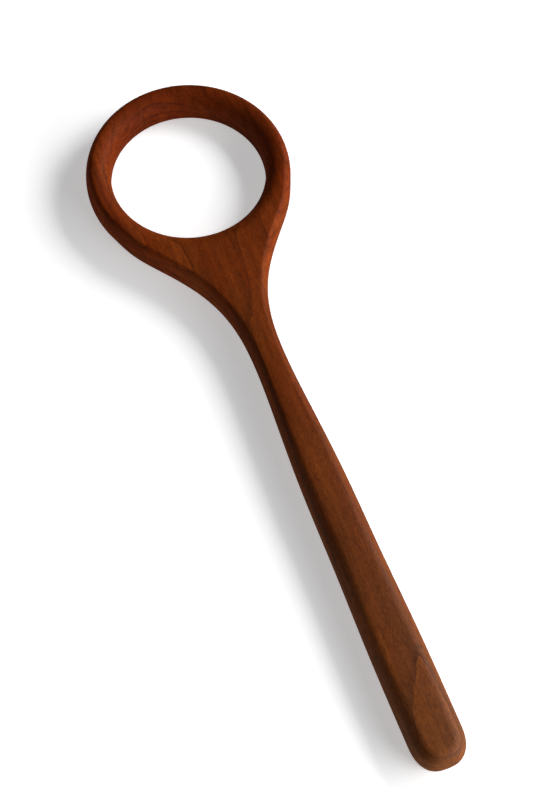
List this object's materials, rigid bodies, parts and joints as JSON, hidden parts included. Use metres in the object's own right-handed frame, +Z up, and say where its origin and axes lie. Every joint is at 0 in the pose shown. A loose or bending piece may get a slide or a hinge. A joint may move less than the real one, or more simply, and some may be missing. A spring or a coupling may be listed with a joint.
{
  "type": "stirring spoon",
  "caption": "One-piece hardwood stirring spoon: a barrel-sided ring with a round open eye, a narrow neck and a long flat-backed handle with a blunt rounded tip.",
  "frame": {"origin": "centre of the bounding box's bottom face, on the flat back, midway between the ring's far edge and the handle's tip", "axes": "+X from the ring along the handle to its tip, +Z up from the flat back through the board's thickness, +Y across; the plane y = 0 is the mirror plane"},
  "size_m": [0.3, 0.08, 0.0125],
  "materials": {
    "oiled_hardwood": "sanded smooth and oiled, satin"
  },
  "bodies": {
    "root": {"spoon": "oiled_hardwood"}
  },
  "joints": []
}
